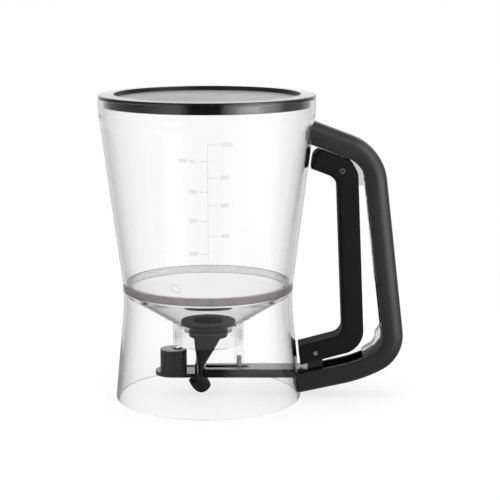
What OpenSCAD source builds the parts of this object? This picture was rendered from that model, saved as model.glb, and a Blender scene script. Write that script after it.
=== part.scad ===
// Batter dispenser: a clear conical hopper on a skirted stand, with a squeeze handle.
// Squeezing the trigger draws a slide bar off a soft pinch nozzle, and the batter falls.
// Millimetres. The origin is on the table, on the hopper's axis. The handle points to +X.

/* [Hopper] */
// Outer radius of the hopper's rim
rim_r = 70; // [64:0.5:80]
// Height of the hopper's rim above the table
rim_z = 197.6; // [180:0.1:230]
// Height of the straight band below the rim
rim_band = 11.5; // [6:0.5:16]
// Wall of the rim band
rim_wall = 3.2; // [2.8:0.1:4]
// Wall of the hopper's cone
hopper_wall = 2.4; // [1.8:0.1:2.8]

/* [Waist and skirt] */
// Outer radius of the hopper's foot, where it meets the joint ring
waist_r = 55.9; // [52:0.1:60]
// Height of the joint ring's underside
waist_z = 71.8; // [66:0.2:80]
// Height of the joint ring
ring_h = 5.1; // [4:0.1:8]
// How far the ring and the skirt stand in from the hopper's foot
waist_step = 0.3; // [0.1:0.1:0.6]
// Outer radius of the skirt at the table
base_r = 61.1; // [59:0.1:66]
// Wall of the skirt
skirt_wall = 2.2; // [1.8:0.1:2.6]
// Height at which the skirt's cone turns straight
skirt_bend_z = 59; // [54:0.5:64]

/* [Funnel] */
// Slope of the funnel below the horizontal
funnel_slope = 32.2; // [28:0.2:34]
// Wall of the funnel
funnel_wall = 2.2; // [1.6:0.1:2.6]
// Outer radius of the collar under the funnel
collar_r = 23.3; // [22.5:0.1:25]
// Height of the collar's lower rim
collar_z = 35.8; // [34.6:0.1:40]
// Wall of the collar
collar_wall = 2; // [1.4:0.1:2.4]
// Height of the seat's upper face, under the nozzle's flange
seat_z = 48.4; // [47.4:0.1:49]
// Thickness of the seat
seat_t = 2.5; // [2:0.1:3.2]
// Depth of the sleeve that guides the nozzle below the seat
sleeve_h = 2.7; // [1.5:0.1:4]
// Wall of the sleeve
sleeve_wall = 1.6; // [1.2:0.1:2.4]
// Radius of the two posts that hang from the seat
post_r = 2.9; // [2.5:0.1:3.1]
// Distance of each post from the hopper's axis
post_x = 20.3; // [19.9:0.1:20.4]

/* [Nozzle] */
// Outer radius of the nozzle's flange
flange_r = 18.3; // [16.5:0.1:19.5]
// Thickness of the nozzle's flange
flange_t = 2.5; // [1.5:0.1:3]
// Radius of the nozzle's mouth
mouth_r = 10.2; // [8.5:0.1:10.8]
// Radius of the nozzle's body inside the seat
body_r = 12.8; // [12.2:0.1:14.2]
// Height of the nozzle body's foot, where the tube starts
body_z = 39.8; // [38.8:0.1:41]
// Outer radius of the tube where it starts
tube_r = 9.3; // [8.6:0.1:9.8]
// Outer radius of the tube's open end
tip_r = 7.5; // [6.8:0.1:8]
// Wall of the tube
tube_wall = 1.9; // [1.4:0.1:2]
// Thickness of the tube where the jaws pinch it flat
pinch_t = 4.2; // [4:0.1:4.6]
// Height of the tube's lowest point above the table
tip_z = 3.1; // [2.2:0.1:4]

/* [Fixed jaw] */
// Place of the pinch along X
pinch_x = -4.7; // [-5:0.1:-4.5]
// Height of the jaw plate's underside
jaw_z = 14.3; // [13.8:0.1:14.8]
// Thickness of the jaw plate
jaw_t = 2.7; // [2.2:0.1:3.2]
// Radius of the jaw plate's round end
jaw_r = 12; // [10.5:0.1:13]
// Distance of the boss from the hopper's axis
boss_x = 23.1; // [22.2:0.1:23.6]
// Radius of the boss that takes the left post
boss_r = 8.8; // [8:0.1:9.2]
// Height of the boss's top
boss_top = 31.2; // [28:0.1:33]
// Thickness of the upright lip that backs the tube
lip_t = 1.5; // [1.2:0.1:2]
// Height of the lip's top
lip_top = 23.6; // [22:0.1:25]
// Height of the floor of the boss's socket
socket_z = 20; // [19:0.1:22]

/* [Slide bar] */
// Width of the bar
bar_w = 16; // [14.5:0.1:16.4]
// Height of the bar's underside
bar_z = 13.3; // [13:0.1:13.6]
// Thickness of the bar
bar_h = 5.7; // [5.2:0.1:6]
// Length of the bar outside the skirt at the foot of its ear
bar_out = 4.5; // [3.6:0.1:5.5]
// Width of the slot that the right post runs in
slot_w = 7; // [6.8:0.1:8]
// Length of slot beyond the post, away from the pinch
slot_spare = 3.8; // [1:0.1:6]
// Thickness of the jaw nose across the slot's end
nose_t = 3; // [2:0.1:4]
// Length of the ear along X
ear_l = 9.7; // [8.5:0.1:10.5]
// Width of the ear
ear_w = 12; // [8:0.1:14]
// Radius of the ear's crown round the link pin
ear_crown = 3; // [2.6:0.1:3.2]

/* [Post screws] */
// Radius of the screw's washer head
head_r = 4.8; // [4.2:0.1:4.9]
// Thickness of the screw's head
head_t = 1.6; // [1.2:0.1:1.8]
// Radius of the screw's shank
shank_r = 1.45; // [1:0.05:1.6]
// Length of the screw's shank
shank_l = 12; // [8:0.5:16]

/* [Handle] */
// Depth of the handle's channel, from its back to its rims
grip_d = 13.8; // [12.6:0.1:14.6]
// Width of the handle
grip_w = 24; // [23.4:0.1:28]
// Wall of the handle cover
grip_wall = 2.4; // [1.8:0.1:2.5]
// Radius of the rounded edges along the handle's back
grip_round = 7; // [5:0.1:8]
// Radius of the gentle bulge of the handle's sides, from the round edges to the rims
side_r = 24; // [20:0.5:60]
// Fall of the upper arm below the horizontal
arm_fall = 20.7; // [19.5:0.1:22]
// Length of the upper arm outside the rim, along its back
arm_l = 26.4; // [25.4:0.1:29]
// Depth of the upper arm's back below the rim, at the rim
arm_drop = 16.3; // [14.4:0.1:17]
// Radius of the upper bend along its back
top_bend_r = 33.4; // [32:0.1:35]
// Lean of the long leg from the vertical
leg_lean = 6.7; // [6:0.1:7.5]
// Radius of the lower bend along its back
low_bend_r = 26; // [24.5:0.5:29]
// Radius of the long easing curve after the lower bend
ease_r = 100; // [94:1:106]
// Height of the handle's back above the table, where it meets the skirt
foot_z = 2.7; // [2:0.1:3.5]
// Width of the clear frame's web
web_w = 8; // [6:0.1:8.4]
// How far the web stands out of the handle cover's rims
web_proud = 0.9; // [0.3:0.1:1.2]
// How far the web stands back inside the channel, along the lower part of the leg
web_back = 3.2; // [1:0.1:5]
// Thickness of the frame's flange and of the skirt's tongue
rail_t = 3; // [2:0.1:3.2]

/* [Trigger] */
// Width of the trigger
trigger_w = 22; // [21.8:0.1:22.4]
// Wall of the trigger
trigger_wall = 2.2; // [1.6:0.1:2.4]
// Depth of the trigger's upper arm
trigger_top_d = 13.8; // [13:0.1:14.5]
// Depth of the trigger's long leg
trigger_leg_d = 13.8; // [13:0.1:15]
// Depth of the trigger's lower arm
trigger_low_d = 12.2; // [11.4:0.1:14]
// Distance of the leg's open side beyond the rim, level with the pivot
trigger_out = 27; // [26:0.1:28]
// Gap between the trigger and the handle's upper arm
trigger_gap = 1; // [0.8:0.1:1.5]
// Gap between the trigger's ends and the hopper or skirt
end_gap = 1.5; // [1.3:0.1:2.4]
// Distance of the pivot beyond the rim
pivot_out = 16.7; // [16.2:0.1:17.4]
// Depth of the pivot below the rim
pivot_drop = 46.8; // [46.2:0.1:47.4]
// Radius of the pivot pin
pivot_r = 1.4; // [1.2:0.05:1.6]
// Bore of the tubular pivot pin
pivot_bore_r = 0.8; // [0.5:0.05:0.9]
// Distance of the link pin from the bar's top
link_rise = 11.5; // [11:0.1:12]
// Radius of the link pin
link_r = 1.35; // [1.1:0.05:1.5]
// Squeeze of the trigger, in degrees
squeeze = 4.5; // [3:0.1:4.6]

/* [Return spring] */
// Radius of the spring's wire
wire_r = 0.45; // [0.3:0.05:0.5]
// Mean radius of the spring's coil
coil_r = 2.9; // [2.6:0.1:3]
// Full turns of the spring
coil_turns = 3; // [2:1:3]

/* [Lid] */
// Thickness of the lid's flange at its edge
lid_edge = 1.7; // [1.4:0.1:3]
// Height of the flange's crown over its edge
lid_crown = 0.4; // [0.2:0.1:2]
// Width of the lid's border, from the hopper's rim in to the recess
lid_border = 10; // [8.5:0.5:16]
// Depth of the recess below the crown
recess_d = 2.8; // [2:0.1:4.5]
// Thickness of the lid's panel
panel_t = 2; // [1.2:0.1:3]
// Depth of the plug below the hopper's rim
plug_d = 5.6; // [4.5:0.1:9]

/* [Clearances] */
// Gap round pieces that are bonded or pushed together
seat_gap = 0.1; // [0.05:0.05:0.2]
// Radial clearance of pins in their bores
pin_gap = 0.05; // [0.02:0.01:0.1]
// Gap round pieces that slide
slide_gap = 0.3; // [0.25:0.05:0.4]

/* [Hidden] */
$fn = 96;
// A small overlap for cutting tools
eps = 0.01;
// Step between neighbouring pieces of a sweep
hair = 0.02;
$thin = 0;
// Degrees between the points of a rounded corner
arc_step = 9;

// Heights and radii that follow from the sizes above
ring_top = waist_z + ring_h;
ring_r = waist_r - waist_step;
skirt_top_r = ring_r - waist_step / 2;
spigot_r = skirt_top_r - skirt_wall - seat_gap;
seal_r = rim_r - rim_wall;
bar_top = bar_z + bar_h;
pivot = [rim_r + pivot_out, rim_z - pivot_drop];
link = [base_r + bar_out + ear_l / 2, bar_top + link_rise];
// Drop of the link pin on its arc over the squeeze
link_drop = (pivot.x - link.x) * sin(squeeze);
// Ends of the pinched tube along X
pinch_left = pinch_x - pinch_t / 2;
pinch_right = pinch_x + pinch_t / 2;

// Straight part of the hopper's outer wall, as a radius at a height
function hopper_r(z) =
    waist_r + (rim_r - waist_step - waist_r) * (z - ring_top) / (rim_z - rim_band - ring_top);
// Outer wall of the skirt's cone, as a radius at a height
function skirt_r(z) = base_r + (skirt_top_r - base_r) * z / skirt_bend_z;

// --- Outlines -----------------------------------------------------------------

// Unit vector at an angle
function aim(a) = [cos(a), sin(a)];
// Point where the line through p at angle a meets the line through q at angle b
function meet(p, a, q, b) =
    let (d = cross(aim(a), aim(b)))
    p + aim(a) * cross(q - p, aim(b)) / d;
// A point moved sideways, to the left of angle a
function beside(p, a, d) = p + d * [-sin(a), cos(a)];

// Points of one corner rounded with radius r, where the outline turns at p
function corner(before, p, after, r) =
    let (
        in_a = atan2(p.y - before.y, p.x - before.x),
        out_a = atan2(after.y - p.y, after.x - p.x),
        swing = out_a - in_a,
        turn = swing > 180 ? swing - 360 : swing < -180 ? swing + 360 : swing,
        side = sign(turn),
        t = r * tan(abs(turn) / 2),
        start = p - t * aim(in_a),
        hub = beside(start, in_a, side * r),
        n = max(1, ceil(abs(turn) / arc_step))
    )
    [for (k = [0:n]) beside(hub, in_a + turn * k / n, -side * r)];

// An outline whose points are [x, y] or [x, y, corner radius]
function rounded(points) =
    let (n = len(points))
    [
        for (i = [0:n - 1])
            let (p = points[i], a = points[(i + n - 1) % n], b = points[(i + 1) % n])
            each (len(p) == 3 ? corner(a, p, b, p[2]) : [p])
    ];

// A 2D outline in the plane of the handle, extruded evenly to both sides of it
module plate(points, width) {
    rotate([90, 0, 0])
        translate([0, 0, -width / 2])
            linear_extrude(width) polygon(points);
}

// A cylinder across the plane of the handle
module cross_pin(at, r, width) {
    translate([at.x, width / 2, at.y]) rotate([90, 0, 0]) cylinder(r = r, h = width);
}

// --- Body of the dispenser ----------------------------------------------------

// Outline of the hopper's outer wall, grown by a gap and filled to the axis
module hopper_envelope(gap) {
    rotate_extrude()
        polygon([
            [0, ring_top - 20], [hopper_r(ring_top - 20) + gap, ring_top - 20],
            [hopper_r(rim_z - rim_band) + gap, rim_z - rim_band],
            [rim_r + gap, rim_z - rim_band + 2], [rim_r + gap, rim_z + 1], [0, rim_z + 1]
        ]);
}

module hopper() {
    band_z = rim_z - rim_band;
    lip = 0.8;
    color("gainsboro", 0.35)
        rotate_extrude()
            polygon(rounded([
                [waist_r - hopper_wall, ring_top], [waist_r, ring_top],
                [hopper_r(band_z), band_z, 12], [rim_r, band_z + 2, 3],
                [rim_r, rim_z, lip], [seal_r, rim_z, lip],
                [seal_r, band_z - 2, 30],
                [hopper_r(band_z - 6) - hopper_wall, band_z - 6, 30]
            ]));
}

module joint_ring() {
    lip_h = rail_t / 2 + seat_gap;
    step_r = spigot_r + hopper_wall / 2;
    color("silver")
        rotate_extrude()
            polygon(rounded([
                [spigot_r + seat_gap, waist_z], [ring_r, waist_z, 0.4],
                [ring_r, ring_top, 0.4], [step_r + seat_gap, ring_top],
                [step_r + seat_gap, ring_top - lip_h], [spigot_r + seat_gap, ring_top - lip_h]
            ]));
}

module funnel() {
    fall = tan(funnel_slope);
    well_r = collar_r - collar_wall;
    spigot_in = spigot_r - funnel_wall + 0.4;
    cone_foot = waist_z - 2.8 - fall * (spigot_r - collar_r);
    cone_lift = funnel_wall / cos(funnel_slope);
    well_z = cone_foot + cone_lift + fall * (well_r - collar_r);
    hole_r = body_r + 2 * seat_gap;
    guide_r = hole_r + sleeve_wall;
    seat_low = seat_z - seat_t;
    lip_r = spigot_r + hopper_wall / 2;
    color("gainsboro", 0.35)
        difference() {
            union() {
                rotate_extrude()
                    polygon(rounded([
                        [spigot_in, ring_top],
                        [spigot_in, well_z + fall * (spigot_in - well_r), 3],
                        [well_r, well_z, 2], [well_r, seat_z, 0.6], [hole_r, seat_z, 0.6],
                        [hole_r, seat_low - sleeve_h], [guide_r, seat_low - sleeve_h],
                        [guide_r, seat_low, 0.5], [well_r, seat_low, 1],
                        [well_r, collar_z, 0.5], [collar_r, collar_z, 0.5],
                        [collar_r, cone_foot, 2], [spigot_r, waist_z - 2.8, 3],
                        [spigot_r, ring_top - rail_t / 2], [lip_r, ring_top - rail_t / 2],
                        [lip_r, ring_top]
                    ]));
                for (side = [-1, 1]) post(side);
            }
            for (side = [-1, 1])
                translate([side * post_x, 0, post_foot(side) - eps])
                    cylinder(r = shank_r + pin_gap, h = shank_l);
        }
}

// Foot of the left post stands in the jaw's socket, the right one in the bar's slot
function post_foot(side) = side < 0 ? socket_z : bar_z + head_t + 0.7;

module post(side) {
    foot = post_foot(side);
    translate([side * post_x, 0, foot])
        cylinder(r = post_r, h = seat_z - seat_t / 2 - foot);
}

module skirt() {
    color("gainsboro", 0.35)
        difference() {
            union() {
                rotate_extrude()
                    polygon(rounded([
                        [base_r - skirt_wall, 0], [base_r, 0, 0.6],
                        [skirt_top_r, skirt_bend_z, 60], [skirt_top_r, waist_z],
                        [skirt_top_r - skirt_wall, waist_z],
                        [skirt_top_r - skirt_wall, skirt_bend_z, 60]
                    ]));
                skirt_tongue();
            }
            // Window that the bar slides through
            translate([base_r - 12, -bar_w / 2 - slide_gap, bar_z - slide_gap])
                cube([24, bar_w + 2 * slide_gap, bar_h + 2 * slide_gap]);
        }
}

// Tongue on the skirt that the handle cover's lower end is pushed onto
module skirt_tongue() {
    reach = 15;
    difference() {
        intersection() {
            handle_run(3, 3) rail_section();
            translate([0, -grip_w / 2, -1]) cube([base_r + reach, grip_w, waist_z]);
        }
        rotate_extrude()
            polygon([[0, -1], [base_r - skirt_wall / 2, -1], [skirt_r(30) - skirt_wall / 2, 30], [0, 30]]);
    }
}

// --- Valve ----------------------------------------------------------------------

// Rings of the tube, as [centre x, height, half-width x, half-width y, saddle, tilt]
tube_rings = [
    [-0.8, body_z + 0.6, tube_r, tube_r, 0, 0],
    [-1.7, 34.5, tube_r - 1.2, tube_r - 0.6, 0, 0],
    [-2.5, 29.4, tube_r - 3, tube_r - 0.6, 0, 0],
    [-3.1, 26.6, tube_r - 4.9, tube_r, 0, 0],
    [pinch_x + 0.7, 23.6, pinch_t / 2 + 0.5, tube_r + 0.6, 0, 0],
    [pinch_x + 0.2, 21.4, pinch_t / 2, tube_r + 1, 0, 0],
    [pinch_x, bar_top, pinch_t / 2, tube_r + 1.1, 0, 0],
    [pinch_x, bar_z - 0.2, pinch_t / 2, tube_r + 1.1, 0.3, 0],
    [pinch_x - 0.2, bar_z - 2.6, pinch_t / 2 + 1.3, tube_r + 0.7, 1.2, 0.3],
    [pinch_x - 0.5, bar_z - 5.2, tip_r - 2.2, tip_r + 1.7, 2.6, 0.9],
    [pinch_x - 0.9, tip_z + 2.3, tip_r - 0.8, tip_r + 0.8, 3.8, 1.5],
    [pinch_x - 1.2, tip_z, tip_r, tip_r, 4.7, 2]
];
tube_sides = 36;

// One ring of points, drawn in by the wall where it is the tube's inside
function tube_ring(ring, wall) =
    let (rx = max(0.2, ring[2] - wall), ry = max(0.2, ring[3] - wall))
    [
        for (k = [0:tube_sides - 1])
            let (a = 360 * k / tube_sides)
            [ring[0] + rx * cos(a), ry * sin(a), ring[1] + ring[4] * pow(cos(a), 2) - ring[5] * cos(a)]
    ];

// A tube through the rings, open from end to end
module tube(rings, wall) {
    n = tube_sides;
    count = len(rings);
    points = concat(
        [for (ring = rings) each tube_ring(ring, 0)],
        [for (ring = rings) each tube_ring(ring, wall)]
    );
    inner = count * n;
    quads = [
        for (i = [0:count - 2]) for (k = [0:n - 1])
            let (a = i * n + k, b = i * n + (k + 1) % n) each [
                [a, b, b + n, a + n],
                [inner + a, inner + a + n, inner + b + n, inner + b]
            ]
    ];
    caps = [
        for (k = [0:n - 1])
            let (j = (k + 1) % n, last = (count - 1) * n) each [
                [k, inner + k, inner + j, j],
                [last + k, last + j, inner + last + j, inner + last + k]
            ]
    ];
    polyhedron(points, concat(quads, caps));
}

module nozzle() {
    bore = tube_r - tube_wall;
    color("dimgray") {
        rotate_extrude()
            polygon(rounded([
                [mouth_r, seat_z + flange_t, 0.5], [flange_r, seat_z + flange_t, 0.6],
                [flange_r, seat_z, 0.6], [body_r, seat_z, 0.4],
                [body_r, body_z, 1.5], [bore, body_z], [bore, body_z + 2]
            ]));
        tube(tube_rings, tube_wall);
    }
}

module fixed_jaw() {
    right = pinch_left - slide_gap;
    jaw_top = jaw_z + jaw_t;
    color("dimgray")
        difference() {
            union() {
                translate([-boss_x, 0, jaw_z]) cylinder(r = jaw_r, h = jaw_t);
                translate([-boss_x, -jaw_r, jaw_z]) cube([boss_x + right, 2 * jaw_r, jaw_t]);
                translate([-boss_x, 0, jaw_z]) cylinder(r = boss_r, h = boss_top - jaw_z);
                // Upright lip behind the tube
                translate([right - lip_t, -jaw_r, jaw_z]) cube([lip_t, 2 * jaw_r, lip_top - jaw_z]);
            }
            // Socket for the post, and the screw's recess and hole below it
            translate([-post_x, 0, socket_z]) cylinder(r = post_r + seat_gap, h = boss_top);
            translate([-post_x, 0, jaw_z - eps])
                cylinder(r = head_r + slide_gap, h = head_t + 0.4 + eps);
            translate([-post_x, 0, jaw_z]) cylinder(r = shank_r + pin_gap, h = socket_z);
            // Shallow pocket that leaves a rim round the plate
            translate([-boss_x, -jaw_r + 2.4, jaw_top - 0.5])
                difference() {
                    cube([boss_x + right - lip_t, 2 * jaw_r - 4.8, 1]);
                    translate([0, jaw_r - 2.4, -1]) cylinder(r = boss_r, h = 3);
                }
        }
}

// A washer-head screw that stands head down, with the head's upper face at z = 0
module post_screw() {
    translate([0, 0, -head_t]) {
        difference() {
            cylinder(r = head_r, h = head_t);
            // Cross recess
            for (a = [0, 90])
                rotate([0, 0, a]) translate([-1.6, -0.35, -eps]) cube([3.2, 0.7, 0.9]);
        }
        cylinder(r = shank_r, h = head_t + shank_l - 1);
    }
}

module post_screws() {
    color("lightgray") {
        translate([-post_x, 0, jaw_z + head_t + 0.4]) post_screw();
        translate([post_x, 0, post_foot(1)]) post_screw();
    }
}

module slide_bar() {
    left = pinch_right + slide_gap;
    foot_x = base_r + bar_out;
    slot_end = post_x + post_r + slot_spare;
    pocket_w = 2 * (head_r + slide_gap + 0.4);
    ledge = post_foot(1) + slide_gap;
    nose_top = bar_z + bar_h / 2 + 0.6;
    color("dimgray")
        difference() {
            union() {
                translate([left, -bar_w / 2, bar_z]) cube([foot_x - left + eps, bar_w, bar_h]);
                // Ear that rises into the trigger
                plate(rounded([
                    [foot_x, bar_z], [foot_x + ear_l, bar_z, 2],
                    [foot_x + ear_l, link.y + ear_crown, 3.5],
                    [foot_x, link.y + ear_crown, 3.5]
                ]), ear_w);
            }
            // Slot for the post, and the nose that presses the tube across its end
            translate([left + nose_t, -slot_w / 2, bar_z - eps])
                cube([slot_end - slot_w / 2 - left - nose_t, slot_w, bar_h + 1]);
            translate([slot_end - slot_w / 2, 0, bar_z - eps]) cylinder(r = slot_w / 2, h = bar_h + 1);
            translate([left - eps, -slot_w / 2, nose_top]) cube([nose_t + 1, slot_w, bar_h]);
            // Pocket below, wide enough for the head of the post's screw
            translate([left + nose_t, -pocket_w / 2, bar_z - eps])
                cube([slot_end - left - nose_t, pocket_w, ledge - bar_z + eps]);
            // Upright slot for the link pin, which drops a little as the trigger swings
            for (dz = [slide_gap, -link_drop - slide_gap])
                cross_pin(link + [0, dz], link_r + pin_gap, bar_w);
            translate([link.x - link_r - pin_gap, -bar_w / 2, link.y - link_drop - slide_gap])
                cube([2 * (link_r + pin_gap), bar_w, link_drop + 2 * slide_gap]);
        }
}

// --- Handle -----------------------------------------------------------------------

// Back of the handle as a run of [straight, bend radius, bend angle], all bends to the right
top_turn = 90 - arm_fall - leg_lean;
low_turn = 69;
ease_turn = 15.6;
foot_rise = 180 - arm_fall - top_turn - low_turn - ease_turn;
arm_inset = 10;
handle_start = [rim_r - arm_inset, rim_z - arm_drop + arm_inset * tan(arm_fall), -arm_fall];
arm_straight = arm_l + arm_inset / cos(arm_fall);
// Place and heading after one step of the run
function step_end(at, step) =
    let (
        a = at[2],
        bend = at + step[0] * [cos(a), sin(a), 0],
        b = a - step[2]
    )
    [
        bend[0] + step[1] * (sin(a) - sin(b)), bend[1] - step[1] * (cos(a) - cos(b)), b
    ];
function run_end(at, steps, i = 0) =
    i == len(steps) ? at : run_end(step_end(at, steps[i]), steps, i + 1);
function handle_steps(leg, foot) = [
    [arm_straight, top_bend_r, top_turn], [leg, low_bend_r, low_turn],
    [0, ease_r, ease_turn], [foot, 0, 0]
];
// The long leg takes up the height that the bends leave, down to the skirt's foot
legless = run_end(handle_start, handle_steps(0, 0));
leg_l = (legless[1] - foot_z - (legless[0] - base_r) * tan(foot_rise))
    / (cos(leg_lean) + sin(leg_lean) * tan(foot_rise));
foot_l = (run_end(handle_start, handle_steps(leg_l, 0))[0] - base_r) / cos(foot_rise) + 6;

// Sweeps a section along the run, from step first to step last. The section lies in X and Y:
// X = 0 is the back, negative X runs into the handle, and Y is across it. Every second piece
// is drawn in by a hair, so that neighbours overlap without sharing a face.
module sweep(steps, first, last, i = 0, piece = 0) {
    straight = steps[i][0];
    bend_r = steps[i][1];
    turn = steps[i][2];
    bend_piece = piece + (straight > 0 ? 1 : 0);
    if (i >= first && i <= last) {
        if (straight > 0)
            let ($thin = hair * (piece % 2))
                translate([-hair, 0, 0])
                    rotate([90, 0, 90]) linear_extrude(straight + 2 * hair) children();
        if (turn > 0)
            let ($thin = hair * (bend_piece % 2))
                translate([straight, -bend_r, 0])
                    rotate([0, 0, 90 - turn - hair])
                        rotate_extrude(angle = turn + 2 * hair) translate([bend_r, 0]) children();
    }
    if (i < last)
        translate([straight, -bend_r, 0])
            rotate([0, 0, -turn])
                translate([0, bend_r, 0])
                    sweep(steps, first, last, i + 1, bend_piece + 1) children();
}

// The sweep in the dispenser's own frame
module handle_run(first, last) {
    translate([handle_start.x, 0, handle_start.y])
        rotate([90, 0, 0])
            rotate([0, 0, handle_start[2]])
                sweep(handle_steps(leg_l, foot_l), first, last) children();
}

// A block with round back edges and gently bulging sides, whose front is cut square
module grip_outline(inset, depth) {
    r = grip_round - inset;
    half = grip_w / 2 - inset;
    for (side = [-1, 1])
        translate([-grip_round, side * (half - r)]) circle(r = r);
    translate([-grip_round, -half + r]) square([r, 2 * (half - r)]);
    intersection() {
        translate([-grip_round, half + inset - side_r]) circle(r = side_r - inset);
        translate([-grip_round, side_r - half - inset]) circle(r = side_r - inset);
        translate([-depth, -grip_w]) square([depth - grip_round, 2 * grip_w]);
    }
}

module cover_section() {
    difference() {
        grip_outline($thin, grip_d - $thin);
        grip_outline(grip_wall - $thin, grip_d + 1);
    }
}

// Flange that fills the bottom of the channel
module rail_section() {
    inset = grip_wall + seat_gap + $thin;
    intersection() {
        grip_outline(inset, grip_d);
        translate([-inset - rail_t + 2 * $thin, -grip_w / 2]) square([rail_t - 2 * $thin, grip_w]);
    }
}

// Flange with a web that stands out between the rims
module frame_section() {
    foot = grip_wall + seat_gap + rail_t / 2;
    depth = grip_d + web_proud - $thin;
    rail_section();
    translate([-depth, -web_w / 2 + $thin]) square([depth - foot, web_w - 2 * $thin]);
}

// What is cut off the web's free edge between two heights on the leg
module web_recess(low, high) {
    leg = run_end(handle_start, [handle_steps(0, 0)[0]]);
    inner = beside([leg[0], leg[1]], leg[2], -grip_d - web_proud - 1);
    outer = beside([leg[0], leg[1]], leg[2], -grip_d + web_back);
    plate(rounded([
        meet(inner, leg[2], [0, high], 0), meet(inner, leg[2], [0, low], 0),
        concat(meet(outer, leg[2], [0, low], 0), 2), concat(meet(outer, leg[2], [0, high], 0), 2)
    ]), web_w + 1);
}

module handle_cover() {
    color("dimgray")
        difference() {
            handle_run(0, 3) cover_section();
            hopper_envelope(seat_gap);
            rotate_extrude()
                polygon([
                    [0, -1], [skirt_r(-1) + seat_gap, -1],
                    [skirt_r(40) + seat_gap, 40], [0, 40]
                ]);
        }
}

// Line of the trigger's open side along its upper arm, just under the handle's rims
top_line = beside([rim_r, rim_z - arm_drop], -arm_fall, -grip_d - trigger_gap);
leg_line = [rim_r + trigger_out, pivot.y];
// Height of the trigger's open side over the bar at the link pin
trigger_over = 6.2;
low_line = [link.x, bar_top + trigger_over];
leg_angle = 92.5;
low_angle = 15;
top_angle = 180 - arm_fall;
// Radii of the open side's two bends and of the finger side's two bends
top_open_r = 13;
low_open_r = 15;
top_finger_r = 8.5;
low_finger_r = 7;
// Radius of the lug round the pivot, below and beside it
lug_r = 3.2;

module handle_frame() {
    web_edge = beside([rim_r, rim_z - arm_drop], -arm_fall, -grip_d);
    lug_low = pivot.y - 11;
    bend_end = run_end(handle_start, [for (i = [0:1]) handle_steps(leg_l, 0)[i]]);
    low_rim = beside([bend_end[0], bend_end[1]], bend_end[2], -grip_d);
    color("gainsboro", 0.35)
        difference() {
            union() {
                difference() {
                    handle_run(0, 1) frame_section();
                    web_recess(low_rim.y + 17, low_rim.y + 47);
                }
                // Lug that carries the trigger's pivot
                plate(rounded([
                    [pivot.x - lug_r, pivot.y - lug_r, lug_r - 0.1], [pivot.x + 3, lug_low, 6],
                    [rim_r + 31, lug_low + 0.5], [rim_r + 36, lug_low - 5],
                    [rim_r + 38, lug_low + 8],
                    meet(web_edge, -arm_fall, [rim_r + 26, 0], 90) + [0, 2],
                    meet(web_edge, -arm_fall, pivot + [1, 0], 90) + [0, 2],
                    meet(web_edge, -arm_fall, pivot + [0.5, 0], 90) - [0, 1.5],
                    [pivot.x - 7, pivot.y + 3, 4]
                ]), web_w);
                // Gusset that fills the lower corner, with a wavy free edge
                translate([low_rim.x, 0, low_rim.y])
                    plate(rounded([
                        [4.9, 16], [2.4, 12.6, 3], [2.2, 8.4, 4], [0.2, 5, 4], [-4.6, 2.2, 3],
                        [-6.6, 0.4, 1], [-5.6, -4.5], [0.6, -6], [6, 0], [9, 10], [9, 20]
                    ]), web_w);
                // Peg that the return spring's upper leg bears on
                translate([spring_peg.x, 0, spring_peg.y])
                    rotate([-90, 0, 0]) cylinder(r = peg_r, h = spring_side + wire_r + 0.8);
            }
            hopper_envelope(seat_gap);
            cross_pin(pivot, pivot_r + pin_gap, grip_w);
        }
}

// --- Trigger ------------------------------------------------------------------------

// Where the finger side's upper bend would come to a point, for a face set in by the wall
function finger_corner(wall) = meet(
    beside(top_line, top_angle, trigger_top_d - wall), top_angle,
    beside(leg_line, leg_angle, trigger_leg_d - wall), leg_angle
);

// Corners of the trigger's side, open side first. Each corner is where two lines meet. The
// open side and the ends are moved out by grow, and the finger side in by wall.
function trigger_outline(grow, wall) =
    let (
        hopper_a = atan2(rim_z - rim_band - ring_top, hopper_r(rim_z - rim_band) - waist_r),
        skirt_a = atan2(skirt_bend_z, skirt_top_r - base_r),
        end_top = [waist_r + end_gap - grow, ring_top],
        end_low = [base_r + end_gap - grow, 0],
        low = beside(low_line, low_angle, -grow),
        leg = beside(leg_line, leg_angle, -grow),
        top = beside(top_line, top_angle, -grow),
        top_in = beside(top_line, top_angle, trigger_top_d - wall),
        leg_in = beside(leg_line, leg_angle, trigger_leg_d - wall),
        low_in = beside(low_line, low_angle, trigger_low_d - wall),
        at = function (p, r) [p.x, p.y, r]
    )
    [
        at(meet(low, low_angle, end_low, skirt_a), 1),
        at(meet(low, low_angle, leg, leg_angle), low_open_r + grow),
        at(meet(leg, leg_angle, top, top_angle), top_open_r + grow),
        at(meet(top, top_angle, end_top, hopper_a), 6),
        at(meet(top_in, top_angle, end_top, hopper_a), 0.4),
        at(finger_corner(wall), top_finger_r + wall),
        at(meet(leg_in, leg_angle, low_in, low_angle), low_finger_r + wall),
        at(meet(low_in, low_angle, end_low, skirt_a), 0.4)
    ];

module trigger() {
    color("dimgray")
        difference() {
            plate(rounded(trigger_outline(0, 0)), trigger_w);
            plate(rounded(trigger_outline(6, trigger_wall)), trigger_w - 2 * trigger_wall);
            cross_pin(pivot, pivot_r + pin_gap, grip_w);
            cross_pin(link, link_r + pin_gap / 2, grip_w);
        }
}

module pivot_pin() {
    head = 0.5;
    reach = trigger_w / 2 + pin_gap;
    color("silver")
        difference() {
            union() {
                cross_pin(pivot, pivot_r, 2 * reach);
                for (side = [-1, 1])
                    translate([0, side * (reach + head / 2), 0]) cross_pin(pivot, pivot_r + 0.3, head);
            }
            cross_pin(pivot, pivot_bore_r, grip_w + 4);
        }
}

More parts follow.
